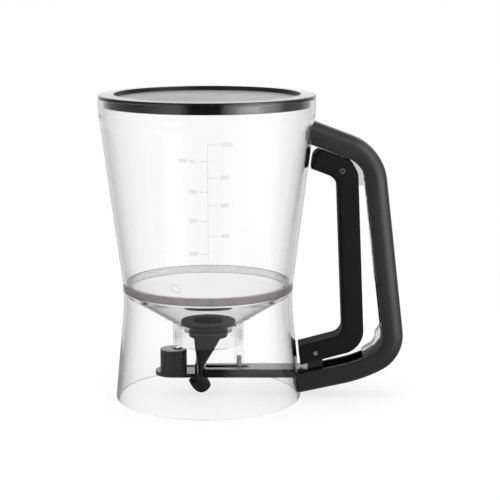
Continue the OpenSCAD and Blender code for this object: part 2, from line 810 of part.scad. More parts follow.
// Tube on the pivot pin that keeps the trigger centred on the lug
module pivot_spacer() {
    low = -trigger_w / 2 + trigger_wall + 0.15;
    high = -web_w / 2 - 0.15;
    color("silver")
        translate([0, (low + high) / 2, 0])
            difference() {
                cross_pin(pivot, pivot_r + 1.5, high - low);
                cross_pin(pivot, pivot_r + pin_gap, grip_w);
            }
}

module link_pin() {
    color("silver") cross_pin(link, link_r, trigger_w + 0.6);
}

// The spring's wire starts in a leg under the peg, winds round the pin and ends in a leg
// that bears on the inside of the trigger's upper bend.
finger_bend_r = top_finger_r + trigger_wall;
finger_hub = finger_corner(trigger_wall)
    + finger_bend_r / cos((top_angle - leg_angle) / 2) * aim((top_angle + leg_angle) / 2 + 90);
hub_l = norm(finger_hub - pivot);
touch_r = coil_r + finger_bend_r + wire_r + 0.05;
spring_start = 60;
spring_end = 360 + atan2(finger_hub.y - pivot.y, finger_hub.x - pivot.x) - acos(touch_r / hub_l);
trigger_leg = sqrt(hub_l * hub_l - touch_r * touch_r) + 2;
spring_side = web_w / 2 + wire_r + 0.15;
spring_pitch = 2 * wire_r + 0.08;
peg_r = 1;
peg_at = 5.5;
peg_leg = peg_at + 1;
spring_peg = pivot + coil_r * aim(spring_start) + peg_at * aim(spring_start - 90)
    + (peg_r + wire_r + 0.05) * aim(spring_start);
coil_steps = 24;
wire_sides = 8;

function coil_point(a, r) = [
    pivot.x + r * cos(a), spring_side + spring_pitch * (a - spring_start) / 360, pivot.y + r * sin(a)
];

module return_spring() {
    sweep_a = 360 * coil_turns + spring_end - spring_start;
    last = ceil(sweep_a / 360 * coil_steps);
    angles = [for (k = [0:last]) spring_start + sweep_a * k / last];
    middle = [for (a = angles) coil_point(a, coil_r)];
    first_leg = middle[0] + peg_leg * [cos(spring_start - 90), 0, sin(spring_start - 90)];
    last_leg = middle[last] + trigger_leg * [cos(spring_end + 90), 0, sin(spring_end + 90)];
    path = concat([first_leg], middle, [last_leg]);
    outs = concat([spring_start], angles, [spring_end]);
    n = wire_sides;
    points = [
        for (i = [0:len(path) - 1]) for (k = [0:n - 1])
            let (a = 360 * k / n)
            path[i] + wire_r * [cos(a) * cos(outs[i]), sin(a), cos(a) * sin(outs[i])]
    ];
    skin = [
        for (i = [0:len(path) - 2]) for (k = [0:n - 1])
            let (a = i * n + k, b = i * n + (k + 1) % n) each [[a, a + n, b + n], [a, b + n, b]]
    ];
    end = (len(path) - 1) * n;
    color("silver")
        polyhedron(points, concat(skin, [[for (k = [0:n - 1]) k]], [[for (k = [n - 1:-1:0]) end + k]]));
}

// --- Lid ----------------------------------------------------------------------------

recess_r = rim_r - lid_border;
// Wall of the plug, and width and thickness of the ledge that carries the panel
plug_wall = 2.4;
ledge_w = 3.5;
ledge_t = 2;

module lid_rim() {
    plug_r = seal_r - slide_gap;
    edge_z = rim_z + lid_edge;
    crown_z = edge_z + lid_crown;
    panel_z = crown_z - recess_d - panel_t;
    ledge_r = recess_r - ledge_w;
    color("dimgray")
        rotate_extrude()
            polygon(rounded([
                [recess_r, panel_z], [recess_r, crown_z, 0.5], [rim_r, edge_z, 0.9],
                [rim_r, rim_z, 0.3], [plug_r, rim_z], [plug_r, rim_z - plug_d, 0.5],
                [plug_r - plug_wall, rim_z - plug_d, 0.5], [plug_r - plug_wall, panel_z - ledge_t],
                [ledge_r, panel_z - ledge_t], [ledge_r, panel_z]
            ]));
}

module lid_panel() {
    top = rim_z + lid_edge + lid_crown - recess_d;
    color("lightgray")
        rotate_extrude()
            polygon(rounded([
                [0, top - panel_t], [0, top], [recess_r - seat_gap, top, 0.3],
                [recess_r - seat_gap, top - panel_t]
            ]));
}

hopper();
joint_ring();
funnel();
skirt();
nozzle();
fixed_jaw();
post_screws();
slide_bar();
handle_frame();
handle_cover();
trigger();
pivot_pin();
pivot_spacer();
return_spring();
link_pin();
lid_rim();
lid_panel();
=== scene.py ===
import bmesh
import bpy
import math
from mathutils import Matrix, Vector


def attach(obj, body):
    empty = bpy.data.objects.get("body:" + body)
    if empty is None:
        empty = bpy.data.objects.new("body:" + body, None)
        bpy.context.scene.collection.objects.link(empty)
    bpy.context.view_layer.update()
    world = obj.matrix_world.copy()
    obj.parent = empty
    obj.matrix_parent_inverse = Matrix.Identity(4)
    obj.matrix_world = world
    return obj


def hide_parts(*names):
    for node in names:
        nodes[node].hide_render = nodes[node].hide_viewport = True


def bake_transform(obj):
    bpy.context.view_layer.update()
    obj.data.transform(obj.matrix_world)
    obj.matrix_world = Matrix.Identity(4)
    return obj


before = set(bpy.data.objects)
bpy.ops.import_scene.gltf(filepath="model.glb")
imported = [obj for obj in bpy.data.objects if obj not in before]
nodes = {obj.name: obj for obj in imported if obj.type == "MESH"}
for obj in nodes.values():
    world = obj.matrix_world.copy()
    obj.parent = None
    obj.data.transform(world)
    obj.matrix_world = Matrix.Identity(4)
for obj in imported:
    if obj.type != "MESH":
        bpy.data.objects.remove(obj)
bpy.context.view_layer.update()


# --- Studio ---------------------------------------------------------------------------
# A white table that keeps the soft shadow of the dispenser, in a white room. The lamps are
# large and soft. Gloss mirrors a room of its own, with bright walls, a dark gap where the
# lens stands and a ceiling that is dark on the left and bright on the right.

def new_material(name):
    """A material with its Principled node, ready for more nodes."""
    mat = bpy.data.materials.new(name)
    mat.use_nodes = True
    tree = mat.node_tree
    return mat, tree, tree.nodes["Principled BSDF"]


def add(tree, kind, inputs=None, **settings):
    """One node with its settings, and its inputs as numbers or as links."""
    node = tree.nodes.new(kind)
    for key, value in settings.items():
        setattr(node, key, value)
    for key, value in (inputs or {}).items():
        if isinstance(value, bpy.types.NodeSocket):
            tree.links.new(value, node.inputs[key])
        else:
            node.inputs[key].default_value = value
    return node


def calc(tree, operation, *values):
    """The outcome of one Math node."""
    return add(tree, "ShaderNodeMath", dict(enumerate(values)), operation=operation).outputs[0]


def seen_rays(tree):
    """Two masks: what the lens sees, straight or through clear plastic, and what is mirrored."""
    path = add(tree, "ShaderNodeLightPath").outputs
    through = calc(tree, "MAXIMUM", path["Is Camera Ray"], path["Is Transmission Ray"])
    clear = calc(tree, "MAXIMUM", through, path["Is Glossy Ray"])
    mirrored = calc(tree, "MULTIPLY", clear,
                    calc(tree, "GREATER_THAN", path["Glossy Depth"], 0.5))
    return calc(tree, "SUBTRACT", clear, mirrored), mirrored


brightest_wall = 10


def mirrored_room(tree, axes, walls):
    """How bright the room is in gloss, by the angle round the dispenser. Each wall is a place
    from 0 to 1, where 0.5 is towards the lens and 0.75 to the right, and a strength."""
    away = calc(tree, "MULTIPLY", axes.outputs["Y"], -1.0)
    turn = calc(tree, "ARCTAN2", axes.outputs["X"], away)
    part = calc(tree, "MULTIPLY_ADD", turn, 0.5 / math.pi, 0.5)
    ramp = add(tree, "ShaderNodeValToRGB", {"Fac": part})
    stops = ramp.color_ramp.elements
    while len(stops) < len(walls):
        stops.new(0.5)
    for stop, (at, strength) in zip(stops, walls):
        stop.position = at
        grey = strength / brightest_wall
        stop.color = (grey, grey, grey, 1)
    return calc(tree, "MULTIPLY", ramp.outputs["Color"], brightest_wall)


world = bpy.data.worlds.new("white_room")
world.use_nodes = True
tree = world.node_tree
background = tree.nodes["Background"]
background.inputs["Color"].default_value = (1, 1, 1, 1)
axes = add(tree, "ShaderNodeSeparateXYZ",
           {0: add(tree, "ShaderNodeTexCoord").outputs["Generated"]})
round_walls = mirrored_room(tree, axes, [
    (0.0, 1.3), (0.1, 1.0), (0.18, 0.35), (0.3, 0.4), (0.38, 0.7), (0.42, 0.7),
    (0.455, 0.05), (0.54, 0.05), (0.58, 1.6), (0.66, 2.4), (0.75, 0.5), (0.82, 0.35),
    (0.9, 1.0), (1.0, 1.3)])
right_side = add(tree, "ShaderNodeMapRange", {"Value": axes.outputs["X"], "From Min": 0.3,
                                              "From Max": 0.6, "To Min": 0.12, "To Max": 2.2},
                 interpolation_type="SMOOTHSTEP").outputs[0]
ceiling = add(tree, "ShaderNodeMapRange", {"Value": axes.outputs["Z"], "From Min": 0.32,
                                           "From Max": 0.5, "To Min": 1.0, "To Max": right_side},
              interpolation_type="SMOOTHSTEP").outputs[0]
seen, mirrored = seen_rays(tree)
plain = add(tree, "ShaderNodeMapRange", {"Value": seen, "To Min": 0.65, "To Max": 1.0})
strength = add(tree, "ShaderNodeMix", {0: mirrored, 2: plain.outputs[0],
                                       3: calc(tree, "MULTIPLY", round_walls, ceiling)},
               data_type="FLOAT")
tree.links.new(strength.outputs[0], background.inputs["Strength"])
bpy.context.scene.world = world
bpy.context.scene.view_settings.view_transform = "Standard"
# Light passes many clear walls on its way through hopper, funnel and skirt
clear_walls = 48
cycles = bpy.context.scene.cycles
cycles.max_bounces = clear_walls
cycles.transmission_bounces = clear_walls
cycles.transparent_max_bounces = clear_walls


def link_object(name, data):
    obj = bpy.data.objects.new(name, data)
    bpy.context.scene.collection.objects.link(obj)
    return obj


def soft_lamp(name, place, target, size, watts):
    """A large lamp that lights surfaces and is never mirrored as a hard-edged window."""
    lamp = bpy.data.lights.new(name, "AREA")
    lamp.shape = "RECTANGLE"
    lamp.size, lamp.size_y = size
    lamp.energy = watts
    obj = link_object(name, lamp)
    obj.location = place
    obj.rotation_euler = (Vector(target) - Vector(place)).to_track_quat("-Z", "Y").to_euler()
    obj.visible_glossy = False


soft_lamp("left_softbox", (-1.0, -0.5, 0.9), (0, 0, 0.1), (0.8, 0.8), 4)
soft_lamp("right_softbox", (1.0, -1.0, 0.5), (0.05, 0, 0.1), (0.6, 1.0), 6)
soft_lamp("top_softbox", (0.1, 0.1, 1.3), (0.03, 0, 0.1), (0.9, 0.9), 4)

table_half = 6
shadow_reach = 0.15
near_glow = 1.33
table = bmesh.new()
bmesh.ops.create_grid(table, x_segments=2, y_segments=2, size=table_half)
mesh = bpy.data.meshes.new("table_top")
table.to_mesh(mesh)
table.free()
table_top = link_object("table_top", mesh)
mat, tree, shader = new_material("white_table")
shader.inputs["Base Color"].default_value = (0.93, 0.93, 0.93, 1)
shader.inputs["Roughness"].default_value = 0.9
shader.inputs["Specular IOR Level"].default_value = 0
seen, mirrored = seen_rays(tree)
place = add(tree, "ShaderNodeTexCoord").outputs["Object"]
axes = add(tree, "ShaderNodeSeparateXYZ", {0: place})
from_middle = add(tree, "ShaderNodeVectorMath", {0: place}, operation="LENGTH").outputs["Value"]
# White where it is far from the dispenser, so that the table's end doesn't show
lift = add(tree, "ShaderNodeMapRange", {"Value": from_middle, "From Min": shadow_reach,
                                        "From Max": 0.5, "To Min": 0.65, "To Max": 1.0},
           interpolation_type="SMOOTHSTEP").outputs[0]
white = add(tree, "ShaderNodeEmission",
            {"Strength": calc(tree, "MULTIPLY_ADD", lift, 1 - near_glow, near_glow)})
lit = add(tree, "ShaderNodeMixShader", {0: calc(tree, "MULTIPLY", seen, lift),
                                        1: shader.outputs[0], 2: white.outputs[0]})
round_table = mirrored_room(tree, axes, [
    (0.0, 0.9), (0.1, 0.8), (0.18, 0.35), (0.3, 0.4), (0.38, 1.3), (0.42, 1.6),
    (0.455, 0.06), (0.54, 0.06), (0.58, 3.0), (0.66, 6.0), (0.75, 0.6), (0.82, 0.35),
    (0.9, 0.8), (1.0, 0.9)])
near = add(tree, "ShaderNodeMapRange", {"Value": from_middle, "From Min": shadow_reach,
                                        "From Max": 0.6, "To Min": 0.4, "To Max": 8.0},
           interpolation_type="SMOOTHSTEP").outputs[0]
mirror = add(tree, "ShaderNodeEmission", {"Strength": calc(tree, "MINIMUM", round_table, near)})
mix = add(tree, "ShaderNodeMixShader", {0: mirrored, 1: lit.outputs[0],
                                        2: mirror.outputs[0]})
tree.links.new(mix.outputs[0], tree.nodes["Material Output"].inputs["Surface"])
mesh.materials.append(mat)

image_width = 500
focal_pixels = 1536.18
film_width = 36
lens_place = (0.02752, -0.98766, 0.28197)
looks_down = 10.59
lens = bpy.data.cameras.new("lens")
lens.sensor_width = film_width
lens.lens = focal_pixels / image_width * film_width
lens.clip_end = 30
camera = link_object("lens", lens)
camera.location = lens_place
camera.rotation_euler = (math.radians(90 - looks_down), 0, 0)
bpy.context.scene.camera = camera


# --- Hopper ---------------------------------------------------------------------------
# The hopper is one injection-moulded cone of clear, hard plastic, polished inside and out.
# Light passes through it, and its walls look grey only where they are seen edge on, from
# their gloss and from shade painted into their colour.

mm = 0.001
flow_depth = 1.2


def new_group(name, inputs, outputs):
    """A shader node group with its sockets. Inputs are pairs of a name and a number."""
    group = bpy.data.node_groups.new(name, "ShaderNodeTree")
    group.interface.new_socket("Vector", in_out="INPUT", socket_type="NodeSocketVector")
    for socket, value in inputs:
        made = group.interface.new_socket(socket, in_out="INPUT", socket_type="NodeSocketFloat")
        made.default_value = value
    for socket in outputs:
        group.interface.new_socket(socket, in_out="OUTPUT", socket_type="NodeSocketFloat")
    return group, add(group, "NodeGroupInput").outputs, add(group, "NodeGroupOutput")


# Every moulded surface has the mould's fine grain, and broad smears from handling
mould_finish, given, result = new_group(
    "mould_finish", [("Grain", 2500), ("Smear", 30), ("Smooth", 0.3), ("Rough", 0.4)],
    ["Roughness", "Height", "Smear"])
grain = add(mould_finish, "ShaderNodeTexNoise", {"Vector": given["Vector"],
                                                 "Scale": given["Grain"], "Detail": 3})
smear = add(mould_finish, "ShaderNodeTexNoise", {"Vector": given["Vector"],
                                                 "Scale": given["Smear"], "Detail": 2,
                                                 "Distortion": 0.6})
uneven = calc(mould_finish, "MULTIPLY_ADD", grain.outputs["Fac"], 0.4,
              calc(mould_finish, "MULTIPLY", smear.outputs["Fac"], 0.6))
rough = add(mould_finish, "ShaderNodeMapRange", {"Value": uneven, "From Min": 0.35,
                                                 "From Max": 0.65, "To Min": given["Smooth"],
                                                 "To Max": given["Rough"]})
mould_finish.links.new(rough.outputs[0], result.inputs["Roughness"])
mould_finish.links.new(grain.outputs["Fac"], result.inputs["Height"])
mould_finish.links.new(smear.outputs["Fac"], result.inputs["Smear"])


def place_group(tree, group, **values):
    """A group in a material, on Object coordinates."""
    node = add(tree, "ShaderNodeGroup", node_tree=group)
    tree.links.new(add(tree, "ShaderNodeTexCoord").outputs["Object"], node.inputs["Vector"])
    for key, value in values.items():
        node.inputs[key].default_value = value
    return node.outputs


def clear_plastic(name, tint, edge, haze, bends=1.49, milk=0.0, flow=0.0):
    """Clear plastic whose walls darken from tint to edge where they turn from the eye.
    Bends is its index of refraction, which is less for a piece of thin walls. Milk is the
    share of light that it scatters, and flow how strongly the mould's flow waves show."""
    mat, tree, shader = new_material(name)
    finish = place_group(tree, mould_finish, Grain=400, Smear=28, Smooth=haze * 0.6, Rough=haze)
    tree.links.new(finish["Roughness"], shader.inputs["Roughness"])
    # Painted shade: the colour darkens from tint to edge where the walls turn from the eye
    turned = add(tree, "ShaderNodeLayerWeight", {"Blend": 0.5})
    painted_edge_shade = calc(tree, "POWER", turned.outputs["Facing"], 3.5)
    colour = add(tree, "ShaderNodeMix", {0: painted_edge_shade}, data_type="RGBA")
    colour.inputs[6].default_value = (*tint, 1)
    colour.inputs[7].default_value = (*edge, 1)
    tree.links.new(colour.outputs[2], shader.inputs["Base Color"])
    shader.inputs["IOR"].default_value = bends
    shader.inputs["Transmission Weight"].default_value = 1 - milk
    shader.inputs["Specular Tint"].default_value = (0.12, 0.12, 0.12, 1)
    if flow:
        waves = place_group(tree, mould_finish, Grain=180, Smear=70)
        bent = add(tree, "ShaderNodeBump", {"Strength": flow, "Distance": flow_depth * mm,
                                            "Height": waves["Smear"]})
        tree.links.new(bent.outputs["Normal"], shader.inputs["Normal"])
    path = add(tree, "ShaderNodeLightPath").outputs
    passing = calc(tree, "MAXIMUM", path["Is Shadow Ray"], path["Is Diffuse Ray"])
    through = add(tree, "ShaderNodeBsdfTransparent", {"Color": (0.94, 0.94, 0.94, 1)})
    mix = add(tree, "ShaderNodeMixShader", {0: passing, 1: shader.outputs[0],
                                            2: through.outputs[0]})
    tree.links.new(mix.outputs[0], tree.nodes["Material Output"].inputs["Surface"])
    return mat


def finish_node(name, mat):
    """Gives a CAD node its finish."""
    for held in nodes[name].material_slots:
        held.material = mat


finish_node("hopper", clear_plastic("hopper_plastic", (0.98,) * 3, (0.2,) * 3, 0.02))


# --- Measuring scale ------------------------------------------------------------------
# The hopper's front carries a faint printed scale in millilitres: one upright line, a tick
# for each hundred, and plain numbers, on alternate sides. The ink is a thin raised film.

scale_x = 1.9
scale_foot = 101
scale_top = 174.4
line_half = 0.12
tick_half = 0.17
# How far ticks and figures reach from the line, on either side
left_tick = 5.4
right_tick = 6.2
left_figures = 6.4
right_figures = 7.6
figure_height = 3.8
# The wall's radius at the height of 100, and how much it grows with height
print_height = 100
print_r = 58.87
print_flare = 0.12637
film_depth = 0.04
# Points nearer to one another than this, in metres, are one
touching = 1e-7
scale_marks = ((300, 105.8), (400, 116.9), (500, 126.8), (600, 136.5),
               (700, 145.1), (800, 153.9), (900, 164.2), (1000, 174.2))
ink = bmesh.new()


def ink_bar(left, right, low, high):
    """A flat bar on the unrolled wall, in millimetres, cut up so that it can follow it."""
    bar = bmesh.ops.create_grid(ink, x_segments=4, y_segments=4, size=0.5)["verts"]
    bmesh.ops.scale(ink, verts=bar, vec=((right - left) * mm, (high - low) * mm, 1))
    bmesh.ops.translate(ink, verts=bar, vec=((left + right) / 2 * mm, (low + high) / 2 * mm, 0))


def ink_words(words, x, z, height, align):
    """Plain figures on the unrolled wall."""
    curve = bpy.data.curves.new("figures", "FONT")
    curve.body = words
    curve.size = height * mm
    curve.align_x = align
    curve.align_y = "CENTER"
    figures = link_object("figures", curve)
    flat = bpy.data.meshes.new_from_object(figures)
    flat.transform(Matrix.Translation((x * mm, z * mm, 0)))
    ink.from_mesh(flat)
    bpy.data.objects.remove(figures)


ink_bar(scale_x - line_half, scale_x + line_half, scale_foot, scale_top)
for amount, z in scale_marks:
    if amount % 200 == 0:
        ink_bar(scale_x, scale_x + right_tick, z - tick_half, z + tick_half)
        ink_words(str(amount), scale_x + right_figures, z, figure_height, "LEFT")
    else:
        words = "900 mL" if amount == 900 else str(amount)
        ink_bar(scale_x - left_tick, scale_x, z - tick_half, z + tick_half)
        ink_words(words, scale_x - left_figures, z, figure_height, "RIGHT")
for vert in ink.verts:
    across, z = vert.co.x, vert.co.y
    r = print_r * mm + (z - print_height * mm) * print_flare
    vert.co = (r * math.sin(across / r), -r * math.cos(across / r), z)
bmesh.ops.remove_doubles(ink, verts=ink.verts, dist=touching)
mesh = bpy.data.meshes.new("measuring_scale")
ink.to_mesh(mesh)
ink.free()
measuring_scale = link_object("measuring_scale", mesh)
film = measuring_scale.modifiers.new("film", "SOLIDIFY")
film.thickness = film_depth * mm
film.offset = 1
grain_depth = 0.05


def moulded(name, colour, smooth, rough, grain=2500, bump=0.0, deeper=0.0):
    """A solid plastic: its colour, its span of roughness, and the mould's grain on it.
    Deeper is how far the smears darken the colour."""
    mat, tree, shader = new_material(name)
    finish = place_group(tree, mould_finish, Grain=grain, Smooth=smooth, Rough=rough)
    tree.links.new(finish["Roughness"], shader.inputs["Roughness"])
    shade = add(tree, "ShaderNodeMix", {0: finish["Smear"]}, data_type="RGBA")
    shade.inputs[6].default_value = (*colour, 1)
    shade.inputs[7].default_value = (*[part * (1 - deeper) for part in colour], 1)
    tree.links.new(shade.outputs[2], shader.inputs["Base Color"])
    if bump:
        raised = add(tree, "ShaderNodeBump", {"Strength": bump, "Distance": grain_depth * mm,
                                              "Height": finish["Height"]})
        tree.links.new(raised.outputs["Normal"], shader.inputs["Normal"])
    return mat, tree, shader, shade


mesh.materials.append(moulded("scale_ink", (0.62, 0.62, 0.61), 0.5, 0.7, deeper=0.1)[0])
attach(measuring_scale, "jug")


# --- Joint ring -----------------------------------------------------------------------
# A flat grey ring is welded between the hopper and the skirt. It is satin outside, and its
# colour turns to white at its inside, which the hopper's clear foot covers.

# The inside turns to the outside's grey between these distances from the axis
pale_r = 55.0
grey_r = 55.3
mat, tree, shader, shade = moulded("ring_plastic", (0.16, 0.154, 0.151), 0.25, 0.35, deeper=0.2)
place = add(tree, "ShaderNodeTexCoord").outputs["Object"]
flat = add(tree, "ShaderNodeVectorMath", {0: place, 1: (1, 1, 0)}, operation="MULTIPLY")
from_axis = add(tree, "ShaderNodeVectorMath", {0: flat.outputs[0]}, operation="LENGTH")
outer = add(tree, "ShaderNodeMapRange", {"Value": from_axis.outputs["Value"],
                                         "From Min": pale_r * mm, "From Max": grey_r * mm})
both = add(tree, "ShaderNodeMix", {0: outer.outputs[0]}, data_type="RGBA")
both.inputs[6].default_value = (1, 1, 1, 1)
tree.links.new(shade.outputs[2], both.inputs[7])
# Light that has come through the ring leaves it untinted
inner = add(tree, "ShaderNodeNewGeometry").outputs["Backfacing"]
leaving = add(tree, "ShaderNodeMix", {0: inner, 6: both.outputs[2]}, data_type="RGBA")
leaving.inputs[7].default_value = (1, 1, 1, 1)
tree.links.new(leaving.outputs[2], shader.inputs["Base Color"])
shader.inputs["Transmission Weight"].default_value = 0.7
shader.inputs["IOR"].default_value = 1.2
finish_node("joint_ring", mat)


# --- Funnel ---------------------------------------------------------------------------
# The funnel is a clear insert under the ring, with the nozzle's seat, a sleeve round the
# nozzle and two posts. It is the same plastic as the hopper, moulded a little hazier, and
# its cone carries the small raised ring of the mould's gate.

finish_node("funnel", clear_plastic("funnel_plastic", (0.9,) * 3, (0.35,) * 3, 0.03, 1.035, 0.02))
bead_r = 0.3
gate_r = 3.2
gate_oval = 1.25
gate_place = (-23.4, 34.2, 64.3)
gate = bmesh.new()
bead = bmesh.ops.create_circle(gate, segments=12, radius=bead_r * mm,
                               matrix=Matrix.Translation((gate_r * mm, 0, 0))
                               @ Matrix.Rotation(math.pi / 2, 4, "X"))["verts"]
bmesh.ops.spin(gate, geom=bead + list(gate.edges), cent=(0, 0, 0), axis=(0, 0, 1),
               angle=2 * math.pi, steps=48, use_merge=True)
bmesh.ops.recalc_face_normals(gate, faces=gate.faces)
bmesh.ops.scale(gate, verts=gate.verts, vec=(1, gate_oval, 1))
off_cone = Vector((0.31, -0.43, 0.85)).normalized()
along = Vector((0, 0, 1)).cross(off_cone).normalized()
lean = Matrix((along, off_cone.cross(along), off_cone)).transposed().to_4x4()
bmesh.ops.transform(gate, verts=gate.verts,
                    matrix=Matrix.Translation([part * mm for part in gate_place]) @ lean)
mesh = bpy.data.meshes.new("gate_mark")
gate.to_mesh(mesh)
gate.free()
mesh.shade_smooth()
gate_mark = link_object("gate_mark", mesh)
mesh.materials.append(clear_plastic("gate_plastic", (0.85,) * 3, (0.1,) * 3, 0.05))
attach(gate_mark, "jug")


# --- Skirt ----------------------------------------------------------------------------
# The skirt is the clear stand. The bar's window is moulded in its side, and the handle's
# lower end is held on it. Its foot is ground flat for the table.

finish_node("skirt", clear_plastic("skirt_plastic", (0.98,) * 3, (0.2,) * 3, 0.02))


# --- Nozzle ---------------------------------------------------------------------------
# The nozzle is one soft silicone moulding: a flange on the funnel's seat, a round body, and
# a thin tube with a bulging lip, which jaw and bar pinch flat. It is modelled pinched at
# every place of the bar, though the real tube springs open.

nozzle_sides = 32
tube_wall = 1.9
# Rings of the body as height and radius, then of the tube as x, z, half depth in X and in Y,
# and how far the ring bows up at its ends and tilts
body_rings = ((50.9, 10.2), (50.9, 18.3), (48.4, 18.3), (48.4, 12.8), (39.8, 12.8))
tube_rings = (
    (-0.4, 39.8, 9.3, 9.3, 0, 0), (-1.5, 35.0, 7.8, 9.0, 0, 0), (-2.6, 30.2, 6.2, 9.0, 0, 0),
    (-3.5, 26.2, 4.6, 9.4, 0, 0), (-4.3, 22.6, 3.1, 10.0, 0, 0), (-4.6, 20.9, 2.3, 10.3, 0, 0),
    (-4.7, 19.0, 2.1, 10.4, 0, 0), (-4.7, 13.1, 2.1, 10.4, 0.3, 0),
    (-4.9, 10.7, 3.4, 10.0, 1.2, 0.3), (-5.2, 8.1, 5.3, 9.2, 2.6, 0.9),
    (-5.6, 5.4, 6.7, 8.3, 3.8, 1.5), (-5.9, 3.1, 7.5, 7.5, 4.7, 2))
throat_z = 41.8
throat_r = 7.4
# Half of what stays open inside where the tube is pinched
least_open = 0.2
lip_round = 0.4
# The flange's corners, the step under it and the mouth's lips
hard_rings = (0, 1, 2, 3, 4, 5, 16, 17)
silicone = bmesh.new()


def nozzle_ring(x, z, deep, wide, bow, tilt):
    """One ring of the nozzle, whose ends in X are bowed and tilted."""
    made = bmesh.ops.create_circle(silicone, segments=nozzle_sides, radius=1)["verts"]
    for vert in made:
        turn = vert.co.x
        rise = bow * turn * turn - tilt * turn
        vert.co = ((x + deep * turn) * mm, wide * vert.co.y * mm, (z + rise) * mm)
    return made


rings = [nozzle_ring(0, z, r, r, 0, 0) for z, r in body_rings]
rings += [nozzle_ring(*ring) for ring in tube_rings]
rings += [nozzle_ring(x, z, max(least_open, deep - tube_wall), wide - tube_wall, bow, tilt)
          for x, z, deep, wide, bow, tilt in reversed(tube_rings)]
rings.append(nozzle_ring(0, throat_z, throat_r, throat_r, 0, 0))
for above, below in zip(rings, rings[1:] + rings[:1]):
    for k in range(nozzle_sides):
        silicone.faces.new((above[k - 1], above[k], below[k], below[k - 1]))
bmesh.ops.recalc_face_normals(silicone, faces=silicone.faces)
hard = [edge for k in hard_rings for edge in silicone.edges
        if all(vert in rings[k] for vert in edge.verts)]
bmesh.ops.bevel(silicone, geom=hard, offset=lip_round * mm, segments=2, profile=0.5,
                affect="EDGES", material=-1, clamp_overlap=True)
mesh = bpy.data.meshes.new("soft_nozzle")
silicone.to_mesh(mesh)
silicone.free()
mesh.shade_smooth()
soft_nozzle = link_object("soft_nozzle", mesh)
rounder = soft_nozzle.modifiers.new("rounder", "SUBSURF")
rounder.levels = rounder.render_levels = 2
mat, _, shader, _ = moulded("black_silicone", (0.013, 0.013, 0.0135), 0.5, 0.65,
                            grain=1500, bump=0.1, deeper=0.25)
shader.inputs["Specular IOR Level"].default_value = 0.3
mesh.materials.append(mat)
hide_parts("nozzle")
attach(soft_nozzle, "jug")


# --- Fixed jaw ------------------------------------------------------------------------
# The jaw is a satin black moulding: a plate with a boss over the left post and an upright
# lip behind the tube. Its edges are slightly rounded by the mould.

# A CAD node is loose triangles, whose corners are this near to one another in metres
loose = 2e-6


def rounded_copy(node, name, radius):
    """A CAD node's shape as whole faces, with its sharp edges rounded."""
    bm = bmesh.new()
    bm.from_mesh(nodes[node].data)
    bmesh.ops.remove_doubles(bm, verts=bm.verts, dist=loose)
    bmesh.ops.dissolve_limit(bm, angle_limit=math.radians(0.5), verts=bm.verts, edges=bm.edges)
    mesh = bpy.data.meshes.new(name)
    bm.to_mesh(mesh)
    bm.free()
    mesh.shade_smooth()
    obj = link_object(name, mesh)
    soften(obj, radius)
    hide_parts(node)
    return obj


def soften(obj, radius, angle=35):
    """Rounds what is sharper than the angle, and keeps flat faces flat under the light."""
    edge = obj.modifiers.new("edge", "BEVEL")
    edge.limit_method = "ANGLE"
    edge.angle_limit = math.radians(angle)
    edge.width = radius * mm
    edge.segments = 3
    flat = obj.modifiers.new("flat", "WEIGHTED_NORMAL")
    flat.keep_sharp = False


# Under half the depth of the plate's pocket, so that the roundings don't meet in its wall
jaw_round = 0.24
jaw = rounded_copy("fixed_jaw", "jaw_plate", jaw_round)
satin_black = moulded("jaw_black", (0.010, 0.010, 0.0105), 0.12, 0.18, grain=1800,
                      bump=0.08, deeper=0.2)[0]
jaw.data.materials.append(satin_black)
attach(jaw, "jug")


# --- Post screws ----------------------------------------------------------------------
# Two small steel screws with washer heads hold the jaw and the bar up on their posts. The
# metal is bright, with fine turning marks.

def steel(name, rough, shine=0.66):
    """Steel with faint turning marks. Shine is how much light it gives back."""
    mat, tree, shader = new_material(name)
    finish = place_group(tree, mould_finish, Grain=6000, Smear=200, Smooth=rough * 0.7,
                         Rough=rough)
    tree.links.new(finish["Roughness"], shader.inputs["Roughness"])
    shade = add(tree, "ShaderNodeMix", {0: finish["Smear"]}, data_type="RGBA")
    shade.inputs[6].default_value = (shine, shine, shine * 1.01, 1)
    shade.inputs[7].default_value = (shine * 0.75, shine * 0.75, shine * 0.77, 1)
    tree.links.new(shade.outputs[2], shader.inputs["Base Color"])
    shader.inputs["Metallic"].default_value = 1
    return mat, tree, shader, shade


finish_node("post_screws", steel("screw_steel", 0.3)[0])


# --- Slide bar ------------------------------------------------------------------------
# The bar is moulded from the same satin black plastic as the jaw. Its nose pinches the
# nozzle, its slot slides on the right post, and its ear holds the link pin.

bar_round = 0.3
bar = rounded_copy("slide_bar", "sliding_bar", bar_round)
bar.data.materials.append(satin_black)
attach(bar, "slide")


# --- Handle frame ---------------------------------------------------------------------
# Inside the handle is a clear frame, moulded with the pivot's lug and a gusset in the lower
# corner. Its web shows as a pale strip along the cover's rims.

finish_node("handle_frame", clear_plastic("frame_plastic", (0.8,) * 3, (0.06,) * 3, 0.05,
                                            milk=0.15, flow=1.0))


# --- Handle cover ---------------------------------------------------------------------
# The cover is a long channel of black plastic that snaps over the frame. Its outside has a
# fine, even matte grain that a thumb and palm can hold.

finish_node("handle_cover", moulded("cover_black", (0.010, 0.010, 0.0105), 0.42, 0.52,
                                    grain=2200, bump=0.25, deeper=0.2)[0])


# --- Trigger --------------------------------------------------------------------------
# The trigger is one bent shell of matte black plastic, open towards the handle. Its finger
# side has rounded long edges, and its flat sides are bored for the pivot and the link pin.

trigger_w = 22
trigger_wall = 2.2
finger_round = 3.2
rim_round = 0.25
# Where the pivot and the link pin cross the side, as x and z, and their holes
pivot = (86.7, 150.8)
pivot_hole = 1.45
link = (70.45, 30.5)
link_hole = 1.38
# What lies left of this belongs to the shell's open ends
end_x = 64
leg_middle = 100
